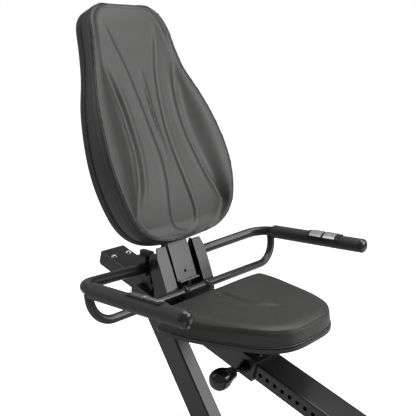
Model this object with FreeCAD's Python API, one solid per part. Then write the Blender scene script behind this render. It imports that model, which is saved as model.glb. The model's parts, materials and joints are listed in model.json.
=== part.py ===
# Recumbent exercise bike. Millimetres, +Z up, +X towards the pedals, +Y to the rider's left.
# Sizes are set out from the top rear edge of the sloping seat rail, then moved to the floor on saving.
import FreeCAD, Part
import math
import os

V = FreeCAD.Vector

# Overall placing
RAIL_REAR_UP = 630.0      # height of the rail's top rear edge above the floor
REAR_TO_MIDDLE = 730.7    # from that edge forward to the middle of the whole bike
FLOOR = -RAIL_REAR_UP
RUN = 0.05                # running clearance, radial

# Seat rail
SLOPE = 16.3
RAIL_W = 80.0
RAIL_H = 40.0
RAIL_WALL = 3.0
RAIL_CORNER = 4.0
HOLE_PITCH = 20.7
HOLE_R = 5.0
PIN_S = 515.5             # pin's place along the rail
HOLES_BEHIND = 3
HOLES_AHEAD = 12
STOP_BOLT_S = 29.0
STOP_BOLT_Y = 25.0

# Frame
BEAM_W = 80.0
BEAM_H = 40.0
BEAM_BOTTOM = 50.0        # above the floor
POST_X = 1070.0
POST_SIZE = 60.0
POST_TOP = -30.0
LEG_ANGLE = 56.0
LEG_S = 103.2
LEG_W = 42.0
LEG_D = 67.3
REAR_BAR_X = 70.0
REAR_BAR_R = 24.0
REAR_BAR_HALF = 200.0
REAR_FOOT_TOP = 62.0
FRONT_BAR_X = 1400.0
FRONT_BAR_R = 30.0
FRONT_BAR_HALF = 270.0
FRONT_FOOT_TOP = 74.0
FOOT_W = 36.0
WHEEL_X = 1456.0
WHEEL_R = 22.0
WHEEL_W = 22.0
WHEEL_Y = 215.0
WHEEL_PIN_R = 5.0

# Drive
CRANK_X = 1150.0
CRANK_Z = -250.0
CRANK_LEN = 160.0
CRANK_TILT = 30.0         # left arm points forward and this far down
FLY_X = 1335.0
FLY_Z = -268.0
FLY_R = 105.0
FLY_W = 24.0
PULLEY_R = 120.0
SMALL_R = 16.0
PULLEY_Y0 = 40.0
PULLEY_Y1 = 54.0
BELT_T = 3.0
PLATE_T = 6.0
AXLE_R = 10.0
AXLE_HALF = 88.0
BEARING_R = 20.0
BEARING_W = 12.0
FLY_SHAFT_R = 8.0
ARM_Y = 74.0
ARM_T = 13.0
PEDAL_Y = 96.0
PEDAL_W = 96.0
PEDAL_L = 92.0
SPINDLE_R = 6.0
SHELL_HALF = 65.0
SHELL_T = 3.0
SHELL_REAR_R = 150.0
SHELL_FRONT_R = 138.0
SHELL_GAP = 0.3
BRAKE_PIVOT_ANGLE = -50.0
BRAKE_PIN_R = 4.0

# Mast, console and front bar
MAST_R = 25.0
MAST_TOP = (1050.0, 0.0, 400.0)
MAST_BEND_Z = 60.0
YOKE_UP = 16.0            # console hinge above the mast's top
BAR_R = 12.5
FRONT_BAR_Y = 195.0
FRONT_BAR_REACH = 112.0   # how far its ends come back towards the rider
FRONT_BAR_RISE = 30.0
FRONT_BAR_DROP = 60.0     # below the mast's top
FRONT_BAR_BEND = 40.0
FRONT_GRIP_R = 16.0
FRONT_GRIP_LEN = 72.0
CONSOLE_TILT = 35.0
CONSOLE_W = 250.0
CONSOLE_H = 170.0
CONSOLE_T = 42.0
CONSOLE_STAND = 20.0      # from the hinge's axis to the console's back
CONSOLE_BELOW = 20.0      # how far the console reaches below its hinge
SCREEN_GAP = 0.3
SCREEN_W = 184.0
SCREEN_LOW = 62.0
SCREEN_HIGH = 152.0
SCREEN_DEEP = 4.0
YOKE_HALF = 34.0
YOKE_R = 12.0
HINGE_R = 6.0
HINGE_LUG_R = 13.0
KEY_R = 9.2
KEY_GAP = 0.1
KEY_Y = 40.0
KEY_UP = 32.0             # above the console's lower edge
CONSOLE_FACE = CONSOLE_STAND + CONSOLE_T

# Seat carriage
CAR_T = 3.5               # bottom lips and side walls
CAR_TOP = 6.0
LINER_T = 1.45
CAR_W = RAIL_W + 2 * (RUN + LINER_T + CAR_T)
CAR_S0 = 131.0
CAR_S1 = 542.7
CAR_LIP = 12.0
PIN_R = 4.5
KNOB_OUT = 74.0           # from the carriage's side to the middle of the knob
KNOB_Y = CAR_W / 2 + KNOB_OUT
KNOB_R = 24.0
KNOB_HALF = 33.0
KNOB_NECK_R = 13.5
NUT_R = 12.0
TOP_BOLT_S = 526.0
TOP_BOLT_Y = 17.0

# Backrest
RECLINE = 21.44
BACK_X = 287.8
BACK_Z = 85.65
FOAM_BACK = -43.0
BOARD_T = 11.0
SHELL_BACK_T = 6.0
POST_W = 66.0
BACK_OUTLINE = [(0, 8), (84, 9), (133, 26), (168, 60), (187, 110), (195.5, 160), (197, 210), (192.5, 260),
                (184, 310), (171, 360), (153, 410), (139.5, 460), (129.5, 510), (117, 558), (84, 588), (36, 594)]

# Seat
SEAT_BOTTOM = -75.0
PAN_T = 9.0
SEAT_SEAM = -34.0
SEAM_INSET = 7.0
SEAT_TOP = -19.0
CROWN_INSET = 17.0
STAND_X0 = 345.0
STAND_X1 = 470.0
STAND_W = 80.0
STAND_WALL = 4.0
SEAT_OUTLINE = [(338, 60), (339, 140), (350, 180), (395, 187), (483, 167), (532, 149), (571, 132), (606, 111),
                (626, 87), (638, 51)]
SEAT_TIP = 640.0
SEAT_REAR = 338.0

# Side handles
TUBE_UP_R = 12.5
TUBE_LOW_R = 10.0
TUBE_WALL = 2.0
GRIP_R = 17.5
SENSOR_TURN = 25.0        # the pulse plates face up and a little inwards
UPPER_MID = (196.0, 60.0, 7.5)
UPPER_BEND = (251.0, 313.5, 38.8)
UPPER_END = (565.0, 315.0, 52.0)
LOWER_X = 297.0
LOWER_Z = -38.0
LOWER_Y = 312.0
TUBE_BOLT_Y = 36.0


def box(x0, x1, y0, y1, z0, z1):
    return Part.makeBox(x1 - x0, y1 - y0, z1 - z0, V(x0, y0, z0))


def rod(p, q, r):
    return Part.makeCylinder(r, (V(*q) - V(*p)).Length, V(*p), V(*q) - V(*p))


def y_rod(x, z, y0, y1, r):
    return Part.makeCylinder(r, y1 - y0, V(x, y0, z), V(0, 1, 0))


def y_ring(x, z, y0, y1, r_out, r_in):
    return y_rod(x, z, y0, y1, r_out).cut(y_rod(x, z, y0 - 1, y1 + 1, r_in))


def aim(shape, base, way):
    # Turn a shape built on +Z so that it points along way, then stand it on base.
    turned = shape.copy()
    turned.Placement = FreeCAD.Placement(base, FreeCAD.Rotation(V(0, 0, 1), way)).multiply(turned.Placement)
    return turned


def mirrored(shape):
    return shape.mirror(V(0, 0, 0), V(0, 1, 0))


def both(shape):
    return Part.makeCompound([shape, mirrored(shape)])


def on_rail(shape):
    turned = shape.copy()
    turned.rotate(V(0, 0, 0), V(0, 1, 0), SLOPE)
    return turned


def on_back(shape):
    turned = shape.copy()
    turned.rotate(V(0, 0, 0), V(0, 1, 0), -RECLINE)
    turned.translate(V(BACK_X, 0, BACK_Z))
    return turned


def rounded_bar(x0, x1, y0, y1, z0, z1, r):
    solid = box(x0, x1, y0, y1, z0, z1)
    along = [e for e in solid.Edges if abs(e.tangentAt(e.FirstParameter).x) > 0.9]
    return solid.makeFillet(r, along)


def prism(points, y0, y1):
    wire = Part.makePolygon([V(x, y0, z) for x, z in points + points[:1]])
    return Part.Face(wire).extrude(V(0, y1 - y0, 0))


def corner(before, at, after, radius):
    into = (at - before).normalize()
    out = (after - at).normalize()
    half = into.getAngle(out) / 2
    reach = radius * math.tan(half)
    start = at - into * reach
    end = at + out * reach
    inward = (out - into).normalize()
    middle = at + inward * (radius / math.cos(half) - radius)
    return start, middle, end


def bent_path(points, radii):
    pts = [V(*p) for p in points]
    edges = []
    last = pts[0]
    for i, radius in enumerate(radii, 1):
        start, middle, end = corner(pts[i - 1], pts[i], pts[i + 1], radius)
        edges.append(Part.makeLine(last, start))
        edges.append(Part.Arc(start, middle, end).toShape())
        last = end
    edges.append(Part.makeLine(last, pts[-1]))
    return Part.Wire(edges)


def along(path, radius):
    first = path.OrderedEdges[0]
    start = first.valueAt(first.FirstParameter)
    ring = Part.Wire([Part.makeCircle(radius, start, first.tangentAt(first.FirstParameter))])
    return path.makePipeShell([ring], True, False)


def tube(path, radius, wall):
    return along(path, radius).cut(along(path, radius - wall))


def closed_spline(points, place):
    curve = Part.BSplineCurve()
    curve.interpolate(Points=[V(*place(a, b)) for a, b in points], PeriodicFlag=True)
    return Part.Wire([curve.toShape()])


def wrap(cx0, cz0, r0, cx1, cz1, r1, y0, y1):
    # A loop drawn tight round two wheels, filled and thickened along Y.
    dx = cx1 - cx0
    dz = cz1 - cz0
    gap = math.hypot(dx, dz)
    lie = math.atan2(dz, dx)
    off = math.acos((r0 - r1) / gap)

    def pt(cx, cz, r, a):
        return V(cx + r * math.cos(a), y0, cz + r * math.sin(a))
    up0 = pt(cx0, cz0, r0, lie + off)
    up1 = pt(cx1, cz1, r1, lie + off)
    low1 = pt(cx1, cz1, r1, lie - off)
    low0 = pt(cx0, cz0, r0, lie - off)
    front = Part.Arc(up1, pt(cx1, cz1, r1, lie), low1).toShape()
    rear = Part.Arc(low0, pt(cx0, cz0, r0, lie + math.pi), up0).toShape()
    wire = Part.Wire([Part.makeLine(up0, up1), front, Part.makeLine(low1, low0), rear])
    return Part.Face(wire).extrude(V(0, y1 - y0, 0))


def dome(r, height, base):
    # A button head standing on z = base, built on the Z axis.
    ball = (r * r + height * height) / (2 * height)
    ball_shape = Part.makeSphere(ball, V(0, 0, base + height - ball))
    return ball_shape.common(Part.makeCylinder(r, height, V(0, 0, base)))


# ---------------------------------------------------------------- frame
def seat_rail():
    length = 1150.0
    outer = rounded_bar(0, length, -RAIL_W / 2, RAIL_W / 2, -RAIL_H, 0, RAIL_CORNER)
    inner = box(-1, length + 1, -RAIL_W / 2 + RAIL_WALL, RAIL_W / 2 - RAIL_WALL, -RAIL_H + RAIL_WALL, -RAIL_WALL)
    rail = outer.cut(inner)
    for k in range(-HOLES_BEHIND, HOLES_AHEAD + 1):
        s = PIN_S + k * HOLE_PITCH
        rail = rail.cut(y_rod(s, -RAIL_H / 2, -RAIL_W / 2 - 1, -RAIL_W / 2 + RAIL_WALL + 1, HOLE_R))
    for side in (-1, 1):
        rail = rail.cut(Part.makeCylinder(4.2, 20, V(STOP_BOLT_S, side * STOP_BOLT_Y, -12)))
    rail = on_rail(rail)
    return rail.common(box(-50, POST_X - POST_SIZE / 2, -100, 100, -600, 100))


def rail_rear_cap():
    cap = rounded_bar(-8, 0, -RAIL_W / 2, RAIL_W / 2, -RAIL_H, 0, RAIL_CORNER)
    half = RAIL_W / 2 - RAIL_WALL - 0.2
    plug = box(0, 14, -half, half, -RAIL_H + RAIL_WALL + 0.2, -RAIL_WALL - 0.2)
    cap = cap.cut(prism([(-9, -RAIL_H + 9), (-9, -RAIL_H - 1), (1, -RAIL_H - 1)], -60, 60))
    return on_rail(cap.fuse(plug))


def rail_stop_bolts():
    bolt = dome(8, 5, 0).fuse(Part.makeCylinder(4, 10, V(0, 0, -10)))
    bolt.translate(V(STOP_BOLT_S, STOP_BOLT_Y, 0))
    return on_rail(both(bolt))


def leg_foot():
    a = math.radians(SLOPE)
    x = LEG_S * math.cos(a) - RAIL_H * math.sin(a)
    z = -LEG_S * math.sin(a) - RAIL_H * math.cos(a)
    return x, z


def rear_leg():
    x, z = leg_foot()
    bar = rounded_bar(-200, 800, -LEG_W / 2, LEG_W / 2, 0, LEG_D, 5)
    bar = bar.cut(box(-201, 801, -LEG_W / 2 + 2.5, LEG_W / 2 - 2.5, 2.5, LEG_D - 2.5))
    bar.rotate(V(0, 0, 0), V(0, 1, 0), LEG_ANGLE)
    bar.translate(V(x, 0, z))
    bar = bar.cut(on_rail(box(-300, 900, -60, 60, -RAIL_H, 400)))
    return bar.common(box(-200, 900, -60, 60, FLOOR + BEAM_BOTTOM + BEAM_H, 200))


def cross_bar(x, z, r, half):
    return y_ring(x, z, -half, half, r, r - 3)


def rear_bar_z():
    return FLOOR + 30.0


def front_bar_z():
    return FLOOR + 38.0


def base_beam():
    low = FLOOR + BEAM_BOTTOM
    beam = rounded_bar(REAR_BAR_X - 25, FRONT_BAR_X + 20, -BEAM_W / 2, BEAM_W / 2, low, low + BEAM_H, 5)
    beam = beam.cut(box(REAR_BAR_X - 22, FRONT_BAR_X + 17, -BEAM_W / 2 + 3, BEAM_W / 2 - 3, low + 3, low + BEAM_H - 3))
    beam = beam.cut(y_rod(REAR_BAR_X, rear_bar_z(), -300, 300, REAR_BAR_R))
    beam = beam.cut(y_rod(FRONT_BAR_X, front_bar_z(), -400, 400, FRONT_BAR_R))
    return max(beam.Solids, key=lambda s: s.Volume)


def rear_stabilizer():
    return cross_bar(REAR_BAR_X, rear_bar_z(), REAR_BAR_R, REAR_BAR_HALF)


def foot(x, half, bar_z, bar_r, top):
    block = box(x - FOOT_W, x + FOOT_W, half - 34, half + 6, FLOOR, FLOOR + top)
    across = [e for e in block.Edges if abs(e.tangentAt(e.FirstParameter).y) > 0.9 and e.CenterOfMass.z > FLOOR + 1]
    block = block.makeFillet(14, across)
    return block.cut(y_rod(x, bar_z, half - 40, half, bar_r))


def rear_feet():
    return both(foot(REAR_BAR_X, REAR_BAR_HALF, rear_bar_z(), REAR_BAR_R, REAR_FOOT_TOP))


def front_stabilizer():
    bar = cross_bar(FRONT_BAR_X, front_bar_z(), FRONT_BAR_R, FRONT_BAR_HALF)
    wheel_z = FLOOR + WHEEL_R + 4
    for side in (-1, 1):
        for offset in (-WHEEL_W / 2 - 6, WHEEL_W / 2 + 2):
            y0 = side * WHEEL_Y + offset
            ear = box(FRONT_BAR_X, WHEEL_X, y0, y0 + 4, wheel_z - 9, wheel_z + 9)
            ear = ear.fuse(y_rod(WHEEL_X, wheel_z, y0, y0 + 4, 9))
            bar = bar.fuse(ear.cut(y_rod(FRONT_BAR_X, front_bar_z(), -400, 400, FRONT_BAR_R - 1)))
        reach = WHEEL_W / 2 + 6
        pin = y_rod(WHEEL_X, wheel_z, side * WHEEL_Y - reach, side * WHEEL_Y + reach, WHEEL_PIN_R)
        bar = bar.fuse(pin)
    return bar


def front_feet():
    return both(foot(FRONT_BAR_X, FRONT_BAR_HALF, front_bar_z(), FRONT_BAR_R, FRONT_FOOT_TOP))


def transport_wheel(side):
    z = FLOOR + WHEEL_R + 4
    y0 = side * WHEEL_Y - WHEEL_W / 2
    wheel = y_ring(WHEEL_X, z, y0, y0 + WHEEL_W, WHEEL_R, WHEEL_PIN_R + RUN)
    rims = [e for e in wheel.Edges if abs(e.Length - 2 * math.pi * WHEEL_R) < 0.5]
    return wheel.makeFillet(4, rims)


def front_post():
    h = POST_SIZE / 2
    low = FLOOR + BEAM_BOTTOM + BEAM_H
    post = box(POST_X - h, POST_X + h, -h, h, low, POST_TOP)
    return post.cut(box(POST_X - h + 3, POST_X + h - 3, -h + 3, h - 3, low + 3, POST_TOP - 3))


def drive_bracket():
    # Two welded side plates carrying the crank shell and the flywheel bearings.
    h = POST_SIZE / 2
    plate = wrap(CRANK_X, CRANK_Z, 45, FLY_X, FLY_Z, 34, h, h + PLATE_T)
    plate = plate.fuse(box(POST_X - h, CRANK_X, h, h + PLATE_T, CRANK_Z - 45, CRANK_Z + 45))
    plate = plate.cut(y_rod(FLY_X, FLY_Z, 0, 60, BEARING_R))
    px, pz = brake_pivot()
    plate = plate.fuse(wrap(FLY_X, FLY_Z, 30, px, pz, 12, h, h + PLATE_T)).cut(y_rod(FLY_X, FLY_Z, 0, 60, BEARING_R))
    plates = [plate, mirrored(plate)]
    shell = y_rod(CRANK_X, CRANK_Z, -h - PLATE_T, h + PLATE_T, BEARING_R + 5)
    pin = y_rod(px, pz, -h, h, BRAKE_PIN_R)
    whole = shell.fuse(plates + [pin])
    whole = whole.cut(y_rod(CRANK_X, CRANK_Z, -60, 60, BEARING_R))
    return whole.cut(y_rod(FLY_X, FLY_Z, -60, 60, BEARING_R))


def brake_pivot():
    a = math.radians(BRAKE_PIVOT_ANGLE)
    r = FLY_R + 16
    return FLY_X + r * math.cos(a), FLY_Z + r * math.sin(a)


def bearings():
    y1 = POST_SIZE / 2 + PLATE_T
    crank = y_ring(CRANK_X, CRANK_Z, y1 - BEARING_W, y1, BEARING_R, AXLE_R + RUN)
    fly = y_ring(FLY_X, FLY_Z, y1 - BEARING_W, y1, BEARING_R, FLY_SHAFT_R + RUN)
    return Part.makeCompound([crank, mirrored(crank), fly, mirrored(fly)])


def crank_axle():
    return y_rod(CRANK_X, CRANK_Z, -AXLE_HALF, AXLE_HALF, AXLE_R)


def crank_pulley():
    wheel = y_ring(CRANK_X, CRANK_Z, PULLEY_Y0, PULLEY_Y1, PULLEY_R, AXLE_R)
    for k in range(5):
        a = 2 * math.pi * k / 5
        wheel = wheel.cut(y_rod(CRANK_X + 68 * math.cos(a), CRANK_Z + 68 * math.sin(a), 0, 90, 26))
    return wheel


def crank_dir(side):
    a = math.radians(CRANK_TILT)
    return side * math.cos(a), -side * math.sin(a)


def pedal_axis(side):
    dx, dz = crank_dir(side)
    return CRANK_X + CRANK_LEN * dx, CRANK_Z + CRANK_LEN * dz


def crank_arm(side):
    px, pz = pedal_axis(side)
    arm = wrap(CRANK_X, CRANK_Z, 19, px, pz, 13, ARM_Y, ARM_Y + ARM_T)
    if side < 0:
        arm = mirrored(arm)
    spindle = y_rod(px, pz, ARM_Y, PEDAL_Y + PEDAL_W - 12, SPINDLE_R)
    collar = y_rod(px, pz, ARM_Y, PEDAL_Y - 4, SPINDLE_R + 4)
    spindle = spindle.fuse(collar)
    arm = arm.fuse(spindle if side > 0 else mirrored(spindle))
    return arm.cut(y_rod(CRANK_X, CRANK_Z, -100, 100, AXLE_R))


def pedal(side):
    px, pz = pedal_axis(side)
    half = PEDAL_L / 2
    y1 = PEDAL_Y + PEDAL_W
    body = box(px - half, px + half, PEDAL_Y, y1, pz - 17, pz + 11)
    ups = [e for e in body.Edges if abs(e.tangentAt(e.FirstParameter).z) > 0.9]
    body = body.makeFillet(10, ups)
    for dx in (-1, 1):
        x0 = px + dx * 27
        body = body.cut(box(x0 - 12, x0 + 12, PEDAL_Y + 12, y1 - 12, pz - 40, pz + 40))
    body = body.cut(y_rod(px, pz, PEDAL_Y - 1, y1 - 10, SPINDLE_R + RUN))
    return body if side > 0 else mirrored(body)


def pedal_strap(side):
    px, pz = pedal_axis(side)
    y0 = PEDAL_Y - 3
    y1 = PEDAL_Y + PEDAL_W + 3
    outer = box(px - 16, px + 16, y0, y1, pz - 10, pz + 62)
    round_edges = [e for e in outer.Edges if abs(e.tangentAt(e.FirstParameter).x) > 0.9 and e.CenterOfMass.z > pz]
    outer = outer.makeFillet(34, round_edges)
    inner = box(px - 17, px + 17, y0 + 3, y1 - 3, pz - 11, pz + 59)
    round_edges = [e for e in inner.Edges if abs(e.tangentAt(e.FirstParameter).x) > 0.9 and e.CenterOfMass.z > pz]
    inner = inner.makeFillet(31, round_edges)
    strap = outer.cut(inner)
    strap = strap.cut(y_rod(px, pz, 60, PEDAL_Y + 1, SPINDLE_R + 5))
    return strap if side > 0 else mirrored(strap)


def flywheel():
    wheel = y_ring(FLY_X, FLY_Z, -FLY_W / 2, FLY_W / 2, FLY_R, FLY_SHAFT_R)
    for side in (-1, 1):
        dish = y_ring(FLY_X, FLY_Z, 6, FLY_W, FLY_R - 22, 22)
        wheel = wheel.cut(dish if side > 0 else mirrored(dish))
    return wheel


def flywheel_shaft():
    shaft = y_rod(FLY_X, FLY_Z, -POST_SIZE / 2 - PLATE_T, PULLEY_Y0, FLY_SHAFT_R)
    return shaft.fuse(y_rod(FLY_X, FLY_Z, PULLEY_Y0, PULLEY_Y1, SMALL_R))


def drive_belt():
    y0 = PULLEY_Y0 + 1
    y1 = PULLEY_Y1 - 1
    inner = wrap(CRANK_X, CRANK_Z, PULLEY_R + RUN, FLY_X, FLY_Z, SMALL_R + RUN, y0 - 1, y1 + 1)
    return wrap(CRANK_X, CRANK_Z, PULLEY_R + BELT_T, FLY_X, FLY_Z, SMALL_R + BELT_T, y0, y1).cut(inner)


def brake_arm():
    px, pz = brake_pivot()
    ring = y_ring(FLY_X, FLY_Z, -14, 14, FLY_R + 20, FLY_R + 11)
    wedge = sector(BRAKE_PIVOT_ANGLE, BRAKE_PIVOT_ANGLE + 78, 200, -14, 14)
    arm = ring.common(wedge).fuse(y_rod(px, pz, -14, 14, 9))
    arm = arm.cut(y_ring(FLY_X, FLY_Z, -15, 15, FLY_R + 6, 50))
    return arm.cut(y_rod(px, pz, -20, 20, BRAKE_PIN_R + RUN))


def sector(a0, a1, r, y0, y1):
    mid = math.radians((a0 + a1) / 2)
    pts = [(FLY_X, FLY_Z)]
    for a in (math.radians(a0), mid, math.radians(a1)):
        pts.append((FLY_X + r * math.cos(a), FLY_Z + r * math.sin(a)))
    return prism(pts, y0, y1)


def brake_magnets():
    ring = y_ring(FLY_X, FLY_Z, -11, 11, FLY_R + 11, FLY_R + 3)
    pads = []
    for k in range(3):
        a0 = BRAKE_PIVOT_ANGLE + 14 + 22 * k
        pads.append(ring.common(sector(a0, a0 + 16, 200, -11, 11)))
    return Part.makeCompound(pads)


def housing(side):
    def solid(inset):
        rear = SHELL_REAR_R - inset
        front = SHELL_FRONT_R - inset
        return wrap(CRANK_X, CRANK_Z, rear, FLY_X, FLY_Z, front, 0, SHELL_HALF - inset)
    outer = solid(0)
    outer = outer.makeFillet(14, [e for e in outer.Edges if e.BoundBox.YMin > SHELL_HALF - 1])
    inner = solid(SHELL_T)
    inner = inner.makeFillet(11, [e for e in inner.Edges if e.BoundBox.YMin > SHELL_HALF - SHELL_T - 1])
    half = outer.cut(inner)
    half = half.cut(y_rod(CRANK_X, CRANK_Z, 0, 100, AXLE_R + 6))
    h = POST_SIZE / 2 + SHELL_GAP
    half = half.cut(box(POST_X - h, POST_X + h, -1, h, -600, 0))
    half = half.cut(rail_clearance())
    if side < 0:
        half = mirrored(half).cut(inlet_hole())
    return half


def rail_clearance():
    w = RAIL_W / 2 + SHELL_GAP
    return on_rail(box(700, POST_X + 40, -w, w, -RAIL_H - SHELL_GAP, SHELL_GAP))


def inlet_hole():
    return y_rod(CRANK_X + 40, CRANK_Z - 110, -80, -50, 6)


def power_inlet():
    socket = y_ring(CRANK_X + 40, CRANK_Z - 110, -SHELL_HALF - 2, -SHELL_HALF + 12, 5.9, 3)
    flange = y_ring(CRANK_X + 40, CRANK_Z - 110, -SHELL_HALF - 2, -SHELL_HALF, 9, 3)
    pin = y_rod(CRANK_X + 40, CRANK_Z - 110, -SHELL_HALF + 1, -SHELL_HALF + 12, 1)
    back = y_rod(CRANK_X + 40, CRANK_Z - 110, -SHELL_HALF + 10, -SHELL_HALF + 12, 5.9)
    return socket.fuse([flange, pin, back])


# ---------------------------------------------------------------- mast and console
def console_mast():
    path = bent_path([(POST_X, 0, POST_TOP), (POST_X, 0, MAST_BEND_Z), MAST_TOP], [80])
    mast = tube(path, MAST_R, 2.5)
    h = POST_SIZE / 2
    plate = box(POST_X - h, POST_X + h, -h, h, POST_TOP, POST_TOP + 6)
    x, z = MAST_TOP[0], MAST_TOP[2] + YOKE_UP
    yoke = y_ring(x, z, -YOKE_HALF, YOKE_HALF, YOKE_R, HINGE_R)
    cap = rod(MAST_TOP, (x, 0, MAST_TOP[2] + 4), MAST_R)
    neck = box(x - 9, x + 9, -YOKE_HALF, YOKE_HALF, MAST_TOP[2], z)
    neck = neck.common(rod(MAST_TOP, (x, 0, z), MAST_R)).cut(y_rod(x, z, -YOKE_HALF, YOKE_HALF, HINGE_R + 2))
    return mast.fuse([plate, cap, neck, yoke]).cut(along(front_bar_path(), BAR_R))


def front_bar_points():
    # The far corner of the bar and its tip, on the rider's left. It passes through the leaning mast.
    z = MAST_TOP[2] - FRONT_BAR_DROP
    lean = (POST_X - MAST_TOP[0]) / (MAST_TOP[2] - MAST_BEND_Z)
    x = MAST_TOP[0] + lean * FRONT_BAR_DROP
    return (x, FRONT_BAR_Y, z), (x - FRONT_BAR_REACH, FRONT_BAR_Y, z + FRONT_BAR_RISE)


def front_bar_path():
    turn, tip = front_bar_points()
    right = [(x, -y, z) for x, y, z in (tip, turn)]
    return bent_path(right + [turn, tip], [FRONT_BAR_BEND, FRONT_BAR_BEND])


def front_handlebar():
    return tube(front_bar_path(), BAR_R, TUBE_WALL)


def front_grips():
    turn, end = front_bar_points()
    tip = V(*end)
    back = (V(*turn) - tip).normalize()
    sleeve = Part.makeCylinder(FRONT_GRIP_R, FRONT_GRIP_LEN, tip, back)
    sleeve = sleeve.cut(Part.makeCylinder(BAR_R, FRONT_GRIP_LEN, tip, back))
    return both(sleeve.fuse(Part.makeCylinder(FRONT_GRIP_R, 5, tip, back * -1)))


def on_console(shape):
    turned = shape.copy()
    turned.rotate(V(0, 0, 0), V(0, 1, 0), CONSOLE_TILT - 90)
    turned.translate(V(MAST_TOP[0], 0, MAST_TOP[2] + YOKE_UP))
    return turned


def console_housing():
    # Built lying flat: local X runs up the panel, Z out towards the rider.
    body = box(-CONSOLE_BELOW, CONSOLE_H - CONSOLE_BELOW, -CONSOLE_W / 2, CONSOLE_W / 2, CONSOLE_STAND, CONSOLE_FACE)
    ups = [e for e in body.Edges if abs(e.tangentAt(e.FirstParameter).z) > 0.9]
    body = body.makeFillet(24, ups)
    half = SCREEN_W / 2
    x0 = SCREEN_LOW - CONSOLE_BELOW
    x1 = SCREEN_HIGH - CONSOLE_BELOW
    body = body.cut(box(x0, x1, -half, half, CONSOLE_FACE - SCREEN_DEEP, CONSOLE_FACE + 1))
    for y in (-KEY_Y, KEY_Y):
        body = body.cut(Part.makeCylinder(KEY_R + KEY_GAP, 8, V(KEY_UP - CONSOLE_BELOW, y, CONSOLE_FACE - 7)))
    y0 = YOKE_HALF + 2
    y1 = YOKE_HALF + 12
    lug = box(-HINGE_LUG_R, HINGE_LUG_R, y0, y1, 0, CONSOLE_STAND + 6).fuse(y_rod(0, 0, y0, y1, HINGE_LUG_R))
    hinge = y_rod(0, 0, -y1, y1, HINGE_R - RUN)
    return on_console(body.fuse([lug, mirrored(lug), hinge]))


def console_screen():
    half = SCREEN_W / 2 - SCREEN_GAP
    x0 = SCREEN_LOW - CONSOLE_BELOW + SCREEN_GAP
    x1 = SCREEN_HIGH - CONSOLE_BELOW - SCREEN_GAP
    return on_console(box(x0, x1, -half, half, CONSOLE_FACE - SCREEN_DEEP, CONSOLE_FACE - 1))


def console_button():
    return on_console(Part.makeCylinder(KEY_R, 8, V(KEY_UP - CONSOLE_BELOW, KEY_Y, CONSOLE_FACE - 5)))


def console_dial():
    return on_console(Part.makeCylinder(KEY_R, 16, V(KEY_UP - CONSOLE_BELOW, -KEY_Y, CONSOLE_FACE - 6.5)))


# ---------------------------------------------------------------- seat carriage
def carriage_sleeve():
    w = CAR_W / 2
    inner = RAIL_W / 2 + RUN + LINER_T
    bottom = -RAIL_H - RUN - LINER_T - CAR_T
    outer = box(CAR_S0, CAR_S1, -w, w, bottom, RUN + LINER_T + CAR_TOP)
    hollow = box(CAR_S0 - 1, CAR_S1 + 1, -inner, inner, bottom + CAR_T, RUN + LINER_T)
    slot = box(CAR_S0 - 1, CAR_S1 + 1, -w + CAR_LIP, w - CAR_LIP, bottom - 1, -RAIL_H)
    body = outer.cut(hollow).cut(slot)
    for side in (-1, 1):
        body = body.cut(Part.makeCylinder(3, 20, V(TOP_BOLT_S, side * TOP_BOLT_Y, 0)))
    return on_rail(body.cut(pin_hole(CAR_W)))


def pin_hole(reach):
    return y_rod(PIN_S, -RAIL_H / 2, -reach, -RAIL_W / 2 + 5, PIN_R + RUN)


def carriage_liner():
    w = RAIL_W / 2 + RUN
    outer = box(CAR_S0 + 2, CAR_S1 - 2, -w - LINER_T, w + LINER_T, -RAIL_H - RUN - LINER_T, RUN + LINER_T)
    hollow = box(CAR_S0, CAR_S1, -w, w, -RAIL_H - RUN, RUN)
    slot = box(CAR_S0, CAR_S1, -CAR_W / 2 + CAR_LIP, CAR_W / 2 - CAR_LIP, -RAIL_H - 9, -RAIL_H + 1)
    return on_rail(outer.cut(hollow).cut(slot).cut(pin_hole(CAR_W)))


def hexagon(r):
    return [(r * math.cos(math.pi * k / 3), r * math.sin(math.pi * k / 3)) for k in range(6)]


def pin_boss():
    w = CAR_W / 2
    nut = prism(hexagon(NUT_R), -w - 14, -w - 4)
    nut.translate(V(PIN_S, 0, -RAIL_H / 2))
    washer = y_rod(PIN_S, -RAIL_H / 2, -w - 4, -w, 15)
    collar = y_rod(PIN_S, -RAIL_H / 2, -w - 20, -w - 14, 8)
    return on_rail(washer.fuse([nut, collar]).cut(pin_hole(CAR_W)))


def pin_rod():
    return on_rail(y_rod(PIN_S, -RAIL_H / 2, -KNOB_Y, -RAIL_W / 2 - 0.6, PIN_R))


def pin_knob():
    # A pear turned round the pin: a broad dome outside, a narrow neck towards the rail.
    profile = [(0, -KNOB_HALF), (KNOB_R * 0.56, -KNOB_HALF * 0.93), (KNOB_R * 0.89, -KNOB_HALF * 0.65),
               (KNOB_R, -KNOB_HALF * 0.25), (KNOB_R * 0.94, KNOB_HALF * 0.15), (KNOB_NECK_R + 3, KNOB_HALF * 0.6),
               (KNOB_NECK_R, KNOB_HALF)]
    curve = Part.BSplineCurve()
    curve.interpolate([V(r, t, 0) for r, t in profile])
    neck = Part.makeLine(V(KNOB_NECK_R, KNOB_HALF, 0), V(0, KNOB_HALF, 0))
    middle = Part.makeLine(V(0, KNOB_HALF, 0), V(0, -KNOB_HALF, 0))
    knob = Part.Face(Part.Wire([curve.toShape(), neck, middle])).revolve(V(0, 0, 0), V(0, 1, 0), 360)
    knob.translate(V(PIN_S, -KNOB_Y, -RAIL_H / 2))
    knob = knob.cut(y_rod(PIN_S, -RAIL_H / 2, -KNOB_Y, 0, PIN_R))
    return on_rail(knob)


CAR_FACE = RUN + LINER_T + CAR_TOP    # top of the carriage, above the rail's top face


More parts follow.
